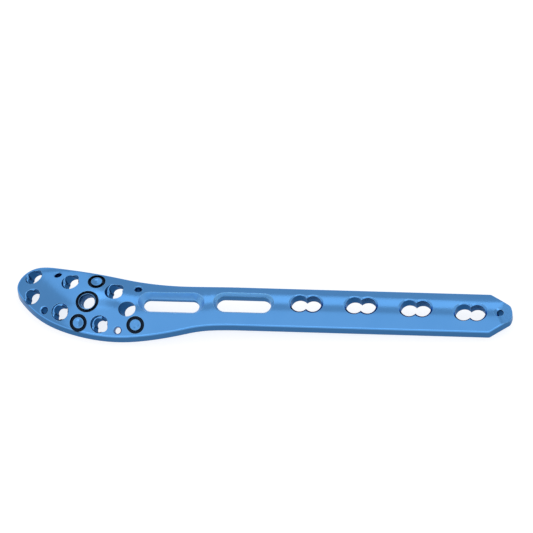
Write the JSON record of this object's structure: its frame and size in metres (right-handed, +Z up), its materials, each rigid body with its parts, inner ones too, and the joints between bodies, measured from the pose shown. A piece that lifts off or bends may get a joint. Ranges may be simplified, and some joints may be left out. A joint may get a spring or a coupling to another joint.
{
  "type": "orthopedic bone plate",
  "caption": "Pre-bent locking plate with a slim shaft and a domed, offset head, drilled for screws, wires and an aiming guide.",
  "frame": {"origin": "on the table, under the middle of the plate's box as it lies at rest", "axes": "+X along the shaft from the head to the tail, +Z up, away from the table, the outer face upwards; +Y to the side that the head sweeps to"},
  "size_m": [0.182, 0.0332, 0.0128],
  "materials": {
    "anodised_titanium": "bead-blasted titanium alloy, anodised sky blue, satin"
  },
  "bodies": {
    "root": {"bone_plate": "anodised_titanium"}
  },
  "joints": []
}
